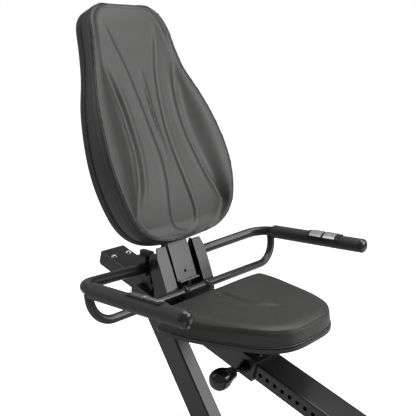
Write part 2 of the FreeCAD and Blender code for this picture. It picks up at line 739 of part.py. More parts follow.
def back_bracket():
    # A wide foot plate on the carriage, two upright ears and a cradle for the lower handle tube.
    plate = on_rail(box(178, 330, -84, 84, CAR_FACE, CAR_FACE + 6))
    ear = on_rail(box(205, 231, 44, 50, CAR_FACE + 6, CAR_FACE + 40))
    cradle = box(LOWER_X - 9, LOWER_X + 11, -45.5, 45.5, -95, LOWER_Z)
    cradle = cradle.cut(on_rail(box(0, 600, -60, 60, -200, CAR_FACE + 6)))
    cradle = cradle.cut(y_rod(LOWER_X, LOWER_Z, -60, 60, TUBE_LOW_R))
    whole = plate.fuse([ear, mirrored(ear), cradle])
    return whole.cut(tube_bolt_holes())


def cheek(side):
    # An upright channel: a wide front flange with a web down each edge.
    outline = [(243, 66), (266, 12), (285, -37), (299, -200), (250, -200), (238, -30), (222, 30), (232, 66)]
    solid = prism(outline, 46, 82)
    inside = prism([(x - 4, z) for x, z in outline], 50, 78)
    hollow = inside.cut(prism([(239, 67), (262, 12), (281, -37), (295, -201), (400, -201), (400, 67)], 40, 90))
    top_cut = prism([(200, 70), (300, 70), (300, 62)], 40, 90)
    solid = solid.cut(hollow).cut(top_cut)
    rail_top = on_rail(box(0, 700, -120, 120, -400, CAR_FACE + 6))
    taper = Part.Face(Part.makePolygon([V(200, 66, 90), V(200, 90, 90), V(200, 90, 20), V(200, 66, 90)]))
    solid = solid.cut(rail_top).cut(taper.extrude(V(120, 0, 0)))
    solid = max(solid.Solids, key=lambda s: s.Volume)
    return solid if side > 0 else mirrored(solid)


def handle_clamps():
    x = UPPER_MID[0]
    z = UPPER_MID[2]
    block = box(x - 25, x + 11, 50, 64, z - 42, z + 40)
    for k in range(3):
        zc = z - 24 + 24 * k
        block = block.cut(box(x - 26, x - 22, 49, 65, zc - 3, zc + 3))
    shoe = box(x - 22, x + 8, 64, 76, z - 18, z + 30)
    block = block.fuse(shoe)
    block = block.cut(on_rail(box(0, 700, -120, 120, -400, CAR_FACE + 6)))
    return both(block.cut(along(upper_path(), TUBE_UP_R)))


def upper_path():
    right = [(x, -y, z) for x, y, z in (UPPER_END, UPPER_BEND, UPPER_MID)]
    left = [UPPER_MID, UPPER_BEND, UPPER_END]
    return bent_path(right + left, [60, 90, 90, 60])


def lower_path():
    x, y, z = LOWER_X - 10, UPPER_BEND[1], 30.0
    return bent_path([(x, -y, z), (LOWER_X, -LOWER_Y, LOWER_Z), (LOWER_X, LOWER_Y, LOWER_Z), (x, y, z)], [58, 58])


def upper_handle_tube():
    return tube(upper_path(), TUBE_UP_R, TUBE_WALL)


def lower_handle_tube():
    low = tube(lower_path(), TUBE_LOW_R, TUBE_WALL)
    low = low.cut(along(upper_path(), TUBE_UP_R)).cut(tube_bolt_holes())
    return max(low.Solids, key=lambda s: s.Volume)


def bolt_line(r, below, above):
    lean = V(9, 0, 13).normalize()
    start = V(LOWER_X, TUBE_BOLT_Y, LOWER_Z) - lean * below
    return Part.makeCylinder(r, below + above, start, lean)


def tube_bolt_holes():
    return both(bolt_line(3.2, 24, 20))


def carriage_bolts():
    head = dome(7.5, 4.5, TUBE_LOW_R + 0.6)
    head = head.fuse(Part.makeCylinder(9, 1.6, V(0, 0, TUBE_LOW_R - 1)))
    head.rotate(V(0, 0, 0), V(0, 1, 0), math.degrees(math.atan2(9, 13)))
    head.translate(V(LOWER_X, TUBE_BOLT_Y, LOWER_Z))
    head = head.cut(along(lower_path(), TUBE_LOW_R)).fuse(bolt_line(3, 20, TUBE_LOW_R + 1))
    side = prism(hexagon(8), 52, 57).fuse(y_rod(0, 0, 50, 52, 10))
    side.translate(V(219.5, 0, CAR_FACE + 24))
    top = dome(8, 5, 0).fuse(Part.makeCylinder(3, CAR_TOP, V(0, 0, -CAR_TOP)))
    top.translate(V(TOP_BOLT_S, TOP_BOLT_Y, CAR_FACE))
    right = [head, on_rail(side), on_rail(top)]
    return Part.makeCompound(right + [mirrored(piece) for piece in right])


def grip_axis():
    tip = V(*UPPER_END)
    return tip, (V(*UPPER_BEND) - tip).normalize()


def grips():
    tip, back = grip_axis()
    sleeve = Part.makeCylinder(GRIP_R, 268, tip, back).cut(Part.makeCylinder(TUBE_UP_R, 268, tip, back))
    return both(sleeve)


def grip_caps():
    tip, back = grip_axis()
    cap = dome(GRIP_R, 9, 4).fuse(Part.makeCylinder(GRIP_R, 4))
    return both(aim(cap, tip, back * -1))


def grip_band(r_out, r_in, start, length, spread):
    # Part of a ring round the grip, opening towards the rider's hand.
    band = Part.makeCylinder(r_out, length).cut(Part.makeCylinder(r_in, length))
    keep = Part.makeCylinder(r_out + 1, length, V(0, 0, 0), V(0, 0, 1), spread)
    band = band.common(keep)
    band.rotate(V(0, 0, 0), V(0, 0, 1), 180 - spread / 2 + SENSOR_TURN)
    tip, back = grip_axis()
    return aim(band, tip + back * (start + length), back * -1)


def sensor_bezels():
    return both(grip_band(GRIP_R + 3, GRIP_R, 55, 94, 100))


def sensor_plates():
    front = grip_band(GRIP_R + 4.2, GRIP_R + 3, 67, 33, 76)
    rear = grip_band(GRIP_R + 4.2, GRIP_R + 3, 107, 34, 76)
    return Part.makeCompound([front, rear, mirrored(front), mirrored(rear)])


# ---------------------------------------------------------------- seat
def seat_loop(inset, z):
    left = [(x, -w) for x, w in reversed(SEAT_OUTLINE)]
    loop = [(SEAT_REAR, 0)] + SEAT_OUTLINE + [(SEAT_TIP, 0)] + left
    mid = 470.0
    sx = 1 - inset / 150.0
    sy = 1 - inset / 190.0
    return closed_spline(loop, lambda x, y: (mid + (x - mid) * sx, y * sy, z))


def seat_cushion():
    low = SEAT_BOTTOM + PAN_T
    band = Part.makeLoft([seat_loop(0, low), seat_loop(SEAM_INSET, SEAT_SEAM)], True, True)
    crown = Part.makeLoft([seat_loop(SEAM_INSET, SEAT_SEAM), seat_loop(CROWN_INSET, SEAT_TOP)], True, True)
    return band.fuse(crown)


def seat_pan():
    face = Part.Face(seat_loop(0, SEAT_BOTTOM))
    return face.extrude(V(0, 0, PAN_T))


def seat_stand():
    h = STAND_W / 2
    w = h - STAND_WALL
    shape = box(STAND_X0, STAND_X1, -h, h, -200, SEAT_BOTTOM)
    shape = shape.cut(box(STAND_X0 + STAND_WALL, STAND_X1 - STAND_WALL, -w, w, -201, SEAT_BOTTOM - STAND_WALL))
    return shape.cut(on_rail(box(0, 900, -120, 120, -400, CAR_FACE)))


# ---------------------------------------------------------------- backrest
def back_loop(x):
    right = [(y, v) for y, v in BACK_OUTLINE if y > 0]
    loop = right + [(-y, v) for y, v in reversed(right)]
    return closed_spline(loop, lambda y, v: (x, y, v))


def back_curve(v):
    t = (v - 280.0) / 280.0
    return -19.7 * (t * t - 1) + 22.65 * (t ** 3 - t)


def back_slab(x0, x1):
    return Part.Face(back_loop(x0)).extrude(V(x1 - x0, 0, 0))


def backrest_cushion():
    curve = Part.BSplineCurve()
    stations = [-20 + 64 * k for k in range(11)]
    curve.interpolate([V(back_curve(v), -260, v) for v in stations])
    low = V(FOAM_BACK, -260, stations[0])
    high = V(FOAM_BACK, -260, stations[-1])
    first = curve.StartPoint
    last = curve.EndPoint
    edges = [curve.toShape(), Part.makeLine(last, high), Part.makeLine(high, low), Part.makeLine(low, first)]
    side_view = Part.Face(Part.Wire(edges)).extrude(V(0, 520, 0))
    return on_back(back_slab(FOAM_BACK, 60).common(side_view))


def backrest_board():
    return on_back(back_slab(FOAM_BACK - BOARD_T, FOAM_BACK))


def backrest_shell():
    x1 = FOAM_BACK - BOARD_T
    shell = back_slab(x1 - SHELL_BACK_T, x1)
    half = POST_W / 2 + 3
    slot = box(x1 - 20, x1 + 1, -half, half, -40, 236)
    return on_back(shell.cut(slot))


def backrest_post():
    x1 = FOAM_BACK - BOARD_T
    half = POST_W / 2
    post = box(x1 - 24, x1, -half, half, -92, 226)
    post = post.cut(box(x1 - 25, x1 - 4, -half + 4, half - 4, -93, 227))
    lip = box(x1 - 4, x1 + 9, -half, half, -96, -92)
    post = post.fuse([lip, box(x1 - 24, x1, -half, half, -96, -92)])
    web = box(x1 - 20, x1 - 14, half, 46.0, -92, -30)
    post = post.fuse([web, mirrored(web)])
    hole = Part.makeCylinder(4, 40, V(x1 - 30, 0, -72), V(1, 0, 0))
    return on_back(post.cut(hole))


SHAPES = {
    "seat_rail": seat_rail, "rail_rear_cap": rail_rear_cap, "rail_stop_bolts": rail_stop_bolts,
    "rear_leg": rear_leg, "base_beam": base_beam, "rear_stabilizer": rear_stabilizer, "rear_feet": rear_feet,
    "front_stabilizer": front_stabilizer, "front_feet": front_feet, "front_post": front_post,
    "drive_bracket": drive_bracket, "bearings": bearings, "drive_belt": drive_belt, "power_inlet": power_inlet,
    "console_mast": console_mast, "front_handlebar": front_handlebar, "front_grips": front_grips,
    "console_housing": console_housing, "console_screen": console_screen, "console_button": console_button,
    "console_dial": console_dial, "crank_axle": crank_axle, "crank_pulley": crank_pulley,
    "flywheel": flywheel, "flywheel_shaft": flywheel_shaft,
    "brake_arm": brake_arm, "brake_magnets": brake_magnets, "carriage_sleeve": carriage_sleeve,
    "carriage_liner": carriage_liner, "pin_boss": pin_boss, "back_bracket": back_bracket,
    "handle_clamps": handle_clamps, "upper_handle_tube": upper_handle_tube,
    "lower_handle_tube": lower_handle_tube, "carriage_bolts": carriage_bolts, "grips": grips,
    "grip_caps": grip_caps, "sensor_bezels": sensor_bezels, "sensor_plates": sensor_plates,
    "seat_stand": seat_stand, "seat_pan": seat_pan, "seat_cushion": seat_cushion,
    "backrest_post": backrest_post, "backrest_board": backrest_board, "backrest_shell": backrest_shell,
    "backrest_cushion": backrest_cushion, "pin_rod": pin_rod, "pin_knob": pin_knob,
}

SIDED = {"housing": housing, "crank_arm": crank_arm, "pedal": pedal, "pedal_strap": pedal_strap,
         "transport_wheel": transport_wheel, "cheek": cheek}


def save(name, shape):
    placed = shape.copy()
    placed.translate(V(-REAR_TO_MIDDLE, 0, RAIL_REAR_UP))
    box_now = placed.BoundBox
    state = "ok" if placed.isValid() else "NOT VALID"
    print(name, len(placed.Solids), state, round(placed.Volume / 1000, 1),
          [round(v, 1) for v in (box_now.XMin, box_now.XMax, box_now.YMin, box_now.YMax, box_now.ZMin, box_now.ZMax)])
    placed.exportStep("parts/" + name + ".step")
    return placed


os.makedirs("parts", exist_ok=True)
saved = [save(name, make()) for name, make in SHAPES.items()]
for name, make in SIDED.items():
    saved.append(save(name + "_left", make(1)))
    saved.append(save(name + "_right", make(-1)))
whole = Part.makeCompound(saved).BoundBox
print("whole", [round(v, 1) for v in (whole.XMin, whole.XMax, whole.YMin, whole.YMax, whole.ZMin, whole.ZMax)])
print("pieces", len(saved))
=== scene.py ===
# %% [markdown]
# # A recumbent exercise bike
# The machine's frame, joints and plain shapes come packed from the CAD model, in metres, standing on
# the floor at z = 0. This lesson dresses it: it gives every part its finish, and rebuilds the soft and
# moulded parts, whose charm is in their curves and seams.

# %% Load the frame
import json
import math

import bmesh
import bpy
import numpy as np
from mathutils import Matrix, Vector
from mathutils.bvhtree import BVHTree
from mathutils.kdtree import KDTree


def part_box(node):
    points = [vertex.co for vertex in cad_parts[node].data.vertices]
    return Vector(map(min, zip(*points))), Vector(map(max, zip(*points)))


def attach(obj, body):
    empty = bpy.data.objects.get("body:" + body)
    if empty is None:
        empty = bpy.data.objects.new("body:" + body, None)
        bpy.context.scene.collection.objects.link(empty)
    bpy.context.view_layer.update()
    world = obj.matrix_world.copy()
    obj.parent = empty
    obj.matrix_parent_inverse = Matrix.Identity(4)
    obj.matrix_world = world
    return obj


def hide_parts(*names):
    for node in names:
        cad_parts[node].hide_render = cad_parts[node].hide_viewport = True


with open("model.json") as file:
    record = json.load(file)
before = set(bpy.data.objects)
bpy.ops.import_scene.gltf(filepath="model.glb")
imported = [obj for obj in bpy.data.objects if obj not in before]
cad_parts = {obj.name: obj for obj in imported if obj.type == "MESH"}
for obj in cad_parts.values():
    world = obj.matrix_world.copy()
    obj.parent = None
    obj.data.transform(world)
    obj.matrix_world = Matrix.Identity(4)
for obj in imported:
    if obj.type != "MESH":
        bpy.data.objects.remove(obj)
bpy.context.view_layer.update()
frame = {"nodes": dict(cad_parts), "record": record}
nodes = frame["nodes"]
MM = 0.001

# %% [markdown]
# Parts of a machine are easiest to build in their own directions: the backrest leans, the rail slopes.
# An Axes object turns numbers along a part's own directions into places in the room. Its origin is read
# off the CAD node that it belongs to, so nothing here has to be fitted by eye.

# %% Local directions


class Axes:
    def __init__(self, origin, right, up, out):
        self.origin = np.array(origin, float)
        self.matrix = np.array([right, up, out], float)

    def world(self, points):
        return np.asarray(points, float) @ self.matrix + self.origin

    def local(self, points):
        return (np.asarray(points, float) - self.origin) @ self.matrix.T


def verts(node):
    mesh = nodes[node].data
    co = np.zeros(len(mesh.vertices) * 3)
    mesh.vertices.foreach_get("co", co)
    return co.reshape(-1, 3)


def span(node, way):
    reach = verts(node) @ np.array(way, float)
    return reach.min(), reach.max()


RECLINE = math.radians(21.44)
back_up = np.array([-math.sin(RECLINE), 0, math.cos(RECLINE)])
back_out = np.array([math.cos(RECLINE), 0, math.sin(RECLINE)])
board_face = span("backrest_board", back_out)[1]
board_foot = span("backrest_board", back_up)[0]
back = Axes(back_out * board_face + back_up * board_foot, (0, 1, 0), back_up, back_out)
level = Axes((0, 0, 0), (1, 0, 0), (0, 1, 0), (0, 0, 1))
print("backrest stands on", back.origin.round(3))

# %% [markdown]
# The camera stands to the rider's right, ahead of the seat and a little above it, about a metre and a
# half from the seat's own middle. A long lens keeps the tall backrest from leaning.

# %% Camera
seat_low, seat_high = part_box("seat_pan")
seat_middle = (seat_low + seat_high) / 2
LOOK_PAST_SEAT = Vector((-0.1107, -0.0438, 0.2516))
look_at = seat_middle + LOOK_PAST_SEAT
CAMERA_AWAY = 1.5
CAMERA_LENS = 58.36
SENSOR_WIDTH = 36
NEAREST_SEEN = 50 * MM
CAMERA_ROUND = math.radians(-48.07)
CAMERA_UP = math.radians(13.21)
flat_way = Vector((math.cos(CAMERA_ROUND), math.sin(CAMERA_ROUND), 0))
camera_way = flat_way * math.cos(CAMERA_UP) + Vector((0, 0, math.sin(CAMERA_UP)))
camera = bpy.data.objects.new("camera", bpy.data.cameras.new("camera"))
camera.data.lens = CAMERA_LENS
camera.data.sensor_width = SENSOR_WIDTH
camera.data.clip_start = NEAREST_SEEN
camera.location = look_at + camera_way * CAMERA_AWAY
camera.rotation_mode = "QUATERNION"
camera.rotation_quaternion = (-camera_way).to_track_quat("-Z", "Y")
bpy.context.scene.collection.objects.link(camera)
bpy.context.scene.camera = camera
print("camera at", [round(v, 3) for v in camera.location])

# %% [markdown]
# A product studio for black things: everything behind is plain white, and the light comes from three
# large soft panels. White all round would lay a grey haze on black paint, so the sky and the floor look
# white to the camera but shed much less light than they show. The panels then draw the long highlights.

# %% Studio


def mesh_object(name, points, faces, edges=()):
    mesh = bpy.data.meshes.new(name)
    mesh.from_pydata([tuple(p) for p in np.asarray(points).tolist()], list(edges), [tuple(f) for f in faces])
    mesh.update()
    if len(faces):
        mesh.shade_smooth()
    made = bpy.data.objects.new(name, mesh)
    bpy.context.scene.collection.objects.link(made)
    return made


FLOOR_REACH = 40.0
corners = [(-1, -1), (1, -1), (1, 1), (-1, 1)]
floor_points = [(x * FLOOR_REACH, y * FLOOR_REACH, 0) for x, y in corners]
floor = mesh_object("studio_floor", floor_points, [(0, 1, 2, 3)])


def soft_panel(name, aim, away, round_deg, up_deg, size, watts):
    light = bpy.data.lights.new(name, "AREA")
    light.shape = "RECTANGLE"
    light.size, light.size_y = size
    light.energy = watts
    panel = bpy.data.objects.new(name, light)
    a, e = math.radians(round_deg), math.radians(up_deg)
    way = Vector((math.cos(a) * math.cos(e), math.sin(a) * math.cos(e), math.sin(e)))
    panel.location = Vector(aim) + way * away
    panel.rotation_mode = "QUATERNION"
    panel.rotation_quaternion = (-way).to_track_quat("-Z", "Y")
    bpy.context.scene.collection.objects.link(panel)


soft_panel("panel_top", look_at, 2.4, 60, 72, (2.0, 2.0), 52)
soft_panel("panel_front", look_at, 2.6, 36, 24, (1.5, 2.0), 52)
soft_panel("panel_rear", look_at, 2.4, -135, 38, (0.5, 2.4), 12)
bpy.context.scene.view_settings.view_transform = "Standard"
print("studio with three panels")

# %% [markdown]
# Shader maths reads best as ordinary arithmetic. A Socket wraps one output of a node; adding or
# multiplying sockets adds the Math node that does it. Every other node comes from one method, node().

# %% A small language for shaders


class Socket:
    def __init__(self, sheet, out):
        self.sheet = sheet
        self.out = out

    def _math(self, operation, first, second):
        return self.sheet.node("ShaderNodeMath", {"operation": operation}, {0: first, 1: second})

    def __add__(self, other):
        return self._math("ADD", self, other)

    def __radd__(self, other):
        return self._math("ADD", other, self)

    def __sub__(self, other):
        return self._math("SUBTRACT", self, other)

    def __mul__(self, other):
        return self._math("MULTIPLY", self, other)

    def __rmul__(self, other):
        return self._math("MULTIPLY", other, self)


class Sheet:
    """A node tree that is being written."""

    def __init__(self, tree):
        self.tree = tree

    def node(self, kind, settings=None, inputs=None, out=0):
        made = self.tree.nodes.new(kind)
        for name, value in (settings or {}).items():
            if name == "stops":
                ramp = made.color_ramp
                while len(ramp.elements) < len(value):
                    ramp.elements.new(0.5)
                for element, (place, shade) in zip(ramp.elements, value):
                    element.position = place
                    element.color = (shade, shade, shade, 1)
            else:
                setattr(made, name, value)
        for name, value in (inputs or {}).items():
            if isinstance(value, Socket):
                self.tree.links.new(value.out, made.inputs[name])
            else:
                made.inputs[name].default_value = value
        return Socket(self, made.outputs[out])

    def noise(self, where, scale, detail=3.0, roughness=0.5):
        sizes = {"Vector": where, "Scale": scale, "Detail": detail, "Roughness": roughness}
        return self.node("ShaderNodeTexNoise", {}, sizes)

    def ramp(self, value, stops):
        return self.node("ShaderNodeValToRGB", {"stops": stops}, {"Fac": value})

    def mix(self, share, a, b):
        return self.node("ShaderNodeMix", {"data_type": "RGBA"}, {0: share, 6: a, 7: b}, out=2)

    def bump(self, height, strength, distance):
        sizes = {"Height": height, "Strength": strength, "Distance": distance}
        return self.node("ShaderNodeBump", {}, sizes)


def finish_of(name, build, **constants):
    """A material: build(sheet, place) returns the varying sockets, constants are the plain ones."""
    material = bpy.data.materials.new(name)
    material.use_nodes = True
    sheet = Sheet(material.node_tree)
    principled = material.node_tree.nodes["Principled BSDF"]
    place = sheet.node("ShaderNodeTexCoord", out="Object")
    for socket, value in build(sheet, place).items():
        material.node_tree.links.new(value.out, principled.inputs[socket])
    for socket, value in constants.items():
        principled.inputs[socket.replace("_", " ")].default_value = value
    return material


def shade(value, warm=0.0):
    return (value * (1 + warm), value, value * (1 - warm), 1.0)


# %% [markdown]
# The frame is steel under a satin black powder coat. Powder melts into a skin that is very slightly
# dimpled, like orange peel, so the gloss breaks up finely; dust and handling vary the roughness slowly.

# %% Powder coat


def powder_coat(sheet, place):
    peel = sheet.noise(place, 650.0, 2.0)
    cloud = sheet.noise(place, 9.0, 4.0)
    colour = sheet.mix(sheet.ramp(cloud, [(0.35, 0.0), (0.65, 1.0)]), shade(0.008), shade(0.013))
    rough = 0.24 + 0.10 * cloud + 0.04 * peel
    return {"Base Color": colour, "Roughness": rough, "Normal": sheet.bump(peel, 0.12, 0.0004)}


black_paint = finish_of("black_powder_coat", powder_coat, Specular_IOR_Level=0.55)
print("finish", black_paint.name)

# %% [markdown]
# The cushions wear charcoal leatherette: a soft vinyl skin pressed with a fine pebble grain. Two sizes
# of cells make the grain, their gaps are a little shinier than their tops, and the sheen rolls off softly.

# %% Leatherette


def leatherette(sheet, place):
    cells = sheet.node("ShaderNodeTexVoronoi", {"feature": "F1"}, {"Vector": place, "Scale": 620.0})
    pores = sheet.noise(place, 1500.0, 2.0)
    cloud = sheet.noise(place, 14.0, 4.0)
    colour = sheet.mix(cloud, shade(0.021, 0.04), shade(0.030, 0.04))
    rough = 0.37 + 0.10 * cloud + 0.10 * cells
    height = cells * 0.8 + pores * 0.35
    return {"Base Color": colour, "Roughness": rough, "Normal": sheet.bump(height, 0.22, 0.0005)}


seat_cover = finish_of("charcoal_leatherette", leatherette, Specular_IOR_Level=0.5)
print("finish", seat_cover.name)

# %% [markdown]
# Moulded plastics share one recipe. A fine spark-eroded texture on the mould leaves a speckle of tiny
# bumps; how deep the speckle is and how shiny the skin is tell a housing from a glossy knob.

# %% Moulded plastics and rubber


def moulded(dark, light, rough, grain, depth, warm=0.0):
    def build(sheet, place):
        speckle = sheet.noise(place, grain, 3.0, 0.6)
        cloud = sheet.noise(place, 12.0, 3.0)
        colour = sheet.mix(cloud, shade(dark, warm), shade(light, warm))
        return {"Base Color": colour, "Roughness": rough + 0.08 * (speckle - 0.5) + 0.06 * (cloud - 0.5),
                "Normal": sheet.bump(speckle, depth, 0.0004)}
    return build


def metal(dark, light, rough, grain):
    def build(sheet, place):
        stretched = sheet.node("ShaderNodeMapping", {}, {"Vector": place, "Scale": (40.0, 1.0, 40.0)})
        lines = sheet.noise(stretched, grain, 3.0)
        colour = sheet.mix(lines, shade(dark), shade(light))
        return {"Base Color": colour, "Roughness": rough + 0.15 * (lines - 0.5),
                "Normal": sheet.bump(lines, 0.05, 0.0003)}
    return build


finishes = {
    "black_paint": black_paint,
    "seat_cover": seat_cover,
    "black_plastic": finish_of("moulded_black", moulded(0.016, 0.024, 0.48, 900.0, 0.15)),
    "bright_bolts": finish_of("bright_plate", metal(0.62, 0.75, 0.16, 20.0), Metallic=1.0),
    "foot_rubber": finish_of("foot_rubber", moulded(0.018, 0.028, 0.75, 500.0, 0.25)),
    "bearing_steel": finish_of("ground_steel", metal(0.45, 0.6, 0.28, 20.0), Metallic=1.0),
    "belt_rubber": finish_of("belt_rubber", moulded(0.012, 0.02, 0.7, 700.0, 0.2)),
    "grip_foam": finish_of("grip_foam", moulded(0.020, 0.034, 0.62, 750.0, 0.5)),
    "console_plastic": finish_of("console_grey", moulded(0.03, 0.045, 0.42, 900.0, 0.15)),
    "screen_glass": finish_of("dark_window", moulded(0.012, 0.016, 0.08, 40.0, 0.0)),
    "button_plastic": finish_of("button_grey", moulded(0.30, 0.36, 0.3, 900.0, 0.05)),
    "pulley_plastic": finish_of("nylon_grey", moulded(0.07, 0.10, 0.5, 600.0, 0.15)),
    "flywheel_iron": finish_of("turned_iron", metal(0.18, 0.28, 0.38, 16.0), Metallic=1.0),
    "magnet_steel": finish_of("nickel_plate", metal(0.45, 0.55, 0.25, 20.0), Metallic=1.0),
    "liner_nylon": finish_of("liner_nylon", moulded(0.03, 0.05, 0.5, 600.0, 0.1)),
    "dark_bolts": finish_of("black_oxide", metal(0.03, 0.06, 0.33, 20.0), Metallic=1.0),
    "gloss_cap": finish_of("gloss_black_cap", moulded(0.010, 0.014, 0.16, 300.0, 0.03)),
    "bezel_plastic": finish_of("bezel_black", moulded(0.014, 0.02, 0.3, 600.0, 0.08)),
    "sensor_steel": finish_of("satin_sensor", metal(0.6, 0.78, 0.3, 14.0), Metallic=1.0),
    "board_ply": finish_of("backing_cloth", moulded(0.018, 0.03, 0.7, 500.0, 0.3)),
    "gloss_knob": finish_of("gloss_black_knob", moulded(0.009, 0.012, 0.12, 200.0, 0.02)),
    "housing_plastic": finish_of("housing_skin", moulded(0.022, 0.03, 0.42, 800.0, 0.2)),
    "pedal_plastic": finish_of("pedal_black", moulded(0.018, 0.026, 0.5, 700.0, 0.2)),
    "strap_rubber": finish_of("strap_black", moulded(0.02, 0.03, 0.6, 700.0, 0.2)),
    "wheel_plastic": finish_of("wheel_black", moulded(0.025, 0.035, 0.5, 700.0, 0.15)),
}
slot_of = {s["node"]: s["material_slot"] for s in frame["record"]["subparts"]}
for name, node in nodes.items():
    node.data.materials.clear()
    node.data.materials.append(finishes[slot_of[name]])
print("finishes", len(finishes))

# %% [markdown]
# The sky and the floor answer two questions differently. A ray straight from the camera is told white; a
# ray that has bounced off the machine is told much less. The Light Path node knows which ray is asking.

# %% White sky and floor
SKY_LIGHT = 0.30
FLOOR_LIGHT = 0.05
FLOOR_LOOK = 0.86
world = bpy.data.worlds.new("studio_sky")
world.use_nodes = True
sky = Sheet(world.node_tree)
seen = sky.node("ShaderNodeLightPath")
world.node_tree.links.new((SKY_LIGHT + (1 - SKY_LIGHT) * seen).out,
                          world.node_tree.nodes["Background"].inputs["Strength"])
world.node_tree.nodes["Background"].inputs["Color"].default_value = (1, 1, 1, 1)
bpy.context.scene.world = world


def floor_skin(sheet, place):
    cloud = sheet.noise(place, 0.7, 2.0)
    glow = sheet.mix(sheet.node("ShaderNodeLightPath"), shade(FLOOR_LIGHT), shade(FLOOR_LOOK))
    return {"Base Color": sheet.mix(cloud, shade(0.76), shade(0.80)), "Emission Color": glow}


floor_white = finish_of("studio_white", floor_skin, Roughness=0.9, Emission_Strength=1.0)
floor.data.materials.append(floor_white)
print("sky and floor are white to the camera")

# %% [markdown]
# Lines come next: a cushion is drawn from its rim, and a seam or a groove is a smooth line through a few
# chosen points. These helpers read a rim off a CAD node, space points evenly, shift a loop inwards, and
# run a Catmull-Rom curve through points so that five or ten of them are enough for a flowing groove.

# %% Lines and loops


def resample(points, count):
    """A closed loop's points, spaced evenly."""
    points = np.vstack([points, points[:1]])
    steps = np.linalg.norm(np.diff(points, axis=0), axis=1)
    walked = np.concatenate([[0], np.cumsum(steps)])
    marks = np.linspace(0, walked[-1], count + 1)[:count]
    return np.column_stack([np.interp(marks, walked, column) for column in points.T])


FLAT_WITHIN = 0.3 * MM


def rim(node, axes, height, count):
    """The outline of a node's flat face, counter-clockwise, in the part's own directions."""
    points = axes.local(verts(node))
    points = np.unique(points[np.abs(points[:, 2] - height) < FLAT_WITHIN][:, :2].round(5), axis=0)
    around = points - (points.min(axis=0) + points.max(axis=0)) / 2
    return resample(points[np.argsort(np.arctan2(around[:, 1], around[:, 0]))], count)


def inward(loop, distance):
    """A counter-clockwise loop moved in by a distance, or by one distance a point."""
    way = np.roll(loop, -1, axis=0) - np.roll(loop, 1, axis=0)
    way /= np.linalg.norm(way, axis=1)[:, None]
    return loop + np.column_stack([-way[:, 1], way[:, 0]]) * np.reshape(distance, (-1, 1))


def smooth_line(points, step=2 * MM):
    """A Catmull-Rom curve through the points, sampled about every step."""
    p = np.array(points, float)
    p = np.vstack([2 * p[0] - p[1], p, 2 * p[-1] - p[-2]])
    line = []
    for a, b, c, d in zip(p, p[1:], p[2:], p[3:]):
        for t in np.linspace(0, 1, max(2, int(np.linalg.norm(c - b) / step)), endpoint=False):
            bend = (2 * a - 5 * b + 4 * c - d) * t**2 + (3 * b - 3 * c + d - a) * t**3
            line.append((2 * b + (c - a) * t + bend) / 2)
    return np.array(line + [p[-2]])


def ease(value, low, high):
    """0 below low, 1 above high, and a soft S between."""
    t = np.clip((value - low) / (high - low), 0, 1)
    return t * t * (3 - 2 * t)


# %% [markdown]
# A sewn cushion is a cover of flat panels pulled over foam. It could be sculpted by hand, but a cloth
# simulation finds the true shape: a closed form slightly too small is remeshed evenly, held still along
# its seams, and blown up by air pressure, so every panel swells between its seams and nowhere else. The
# swelling is capped, because foam stops where the cover is tight.

# %% Swelling a cover


def stack(name, rings):
    """A closed form from loops stacked along a way, each a row of points, with a fan at both ends."""
    count = len(rings[0])
    points = np.vstack(rings + [rings[0].mean(axis=0), rings[-1].mean(axis=0)])
    faces = []
    for k in range(len(rings) - 1):
        for i in range(count):
            j = (i + 1) % count
            faces.append((k * count + i, k * count + j, (k + 1) * count + j, (k + 1) * count + i))
    low, high = len(points) - 2, len(points) - 1
    last = (len(rings) - 1) * count
    for i in range(count):
        j = (i + 1) % count
        faces.append((low, j, i))
        faces.append((high, last + i, last + j))
    return mesh_object(name, points, faces)


def baked(thing):
    """Turn what the modifiers make into the thing's own plain mesh."""
    done = bpy.data.meshes.new_from_object(thing.evaluated_get(bpy.context.evaluated_depsgraph_get()))
    thing.modifiers.clear()
    thing.data = done


def points_of(thing, what="co"):
    """A mesh's points as rows, or the normals at them."""
    source = thing.data.vertices if what == "co" else thing.data.vertex_normals
    values = np.zeros(len(thing.data.vertices) * 3)
    source.foreach_get("co" if what == "co" else "vector", values)
    return values.reshape(-1, 3)


def move_points(thing, points):
    thing.data.vertices.foreach_set("co", np.asarray(points, float).ravel())
    thing.data.update()


PRESSURE = 4.0
SWELL_FRAMES = 20
COVER_STIFF = {"tension_stiffness": 12, "compression_stiffness": 12,
               "shear_stiffness": 5, "bending_stiffness": 0.6}
VOXEL = 4.5 * MM
EVEN_ROUNDS = 60
LEAST = 1e-9


def evened(thing, push):
    """Foam evens a push out: each point takes on half of what its neighbours do, many times over."""
    ends = np.zeros(len(thing.data.edges) * 2, int)
    thing.data.edges.foreach_get("vertices", ends)
    first, second = ends.reshape(-1, 2).T
    count = np.bincount(ends, minlength=len(push))[:, None]
    for _ in range(EVEN_ROUNDS):
        shared = np.zeros_like(push)
        np.add.at(shared, first, push[second])
        np.add.at(shared, second, push[first])
        push = (push + shared / count) / 2
    return push


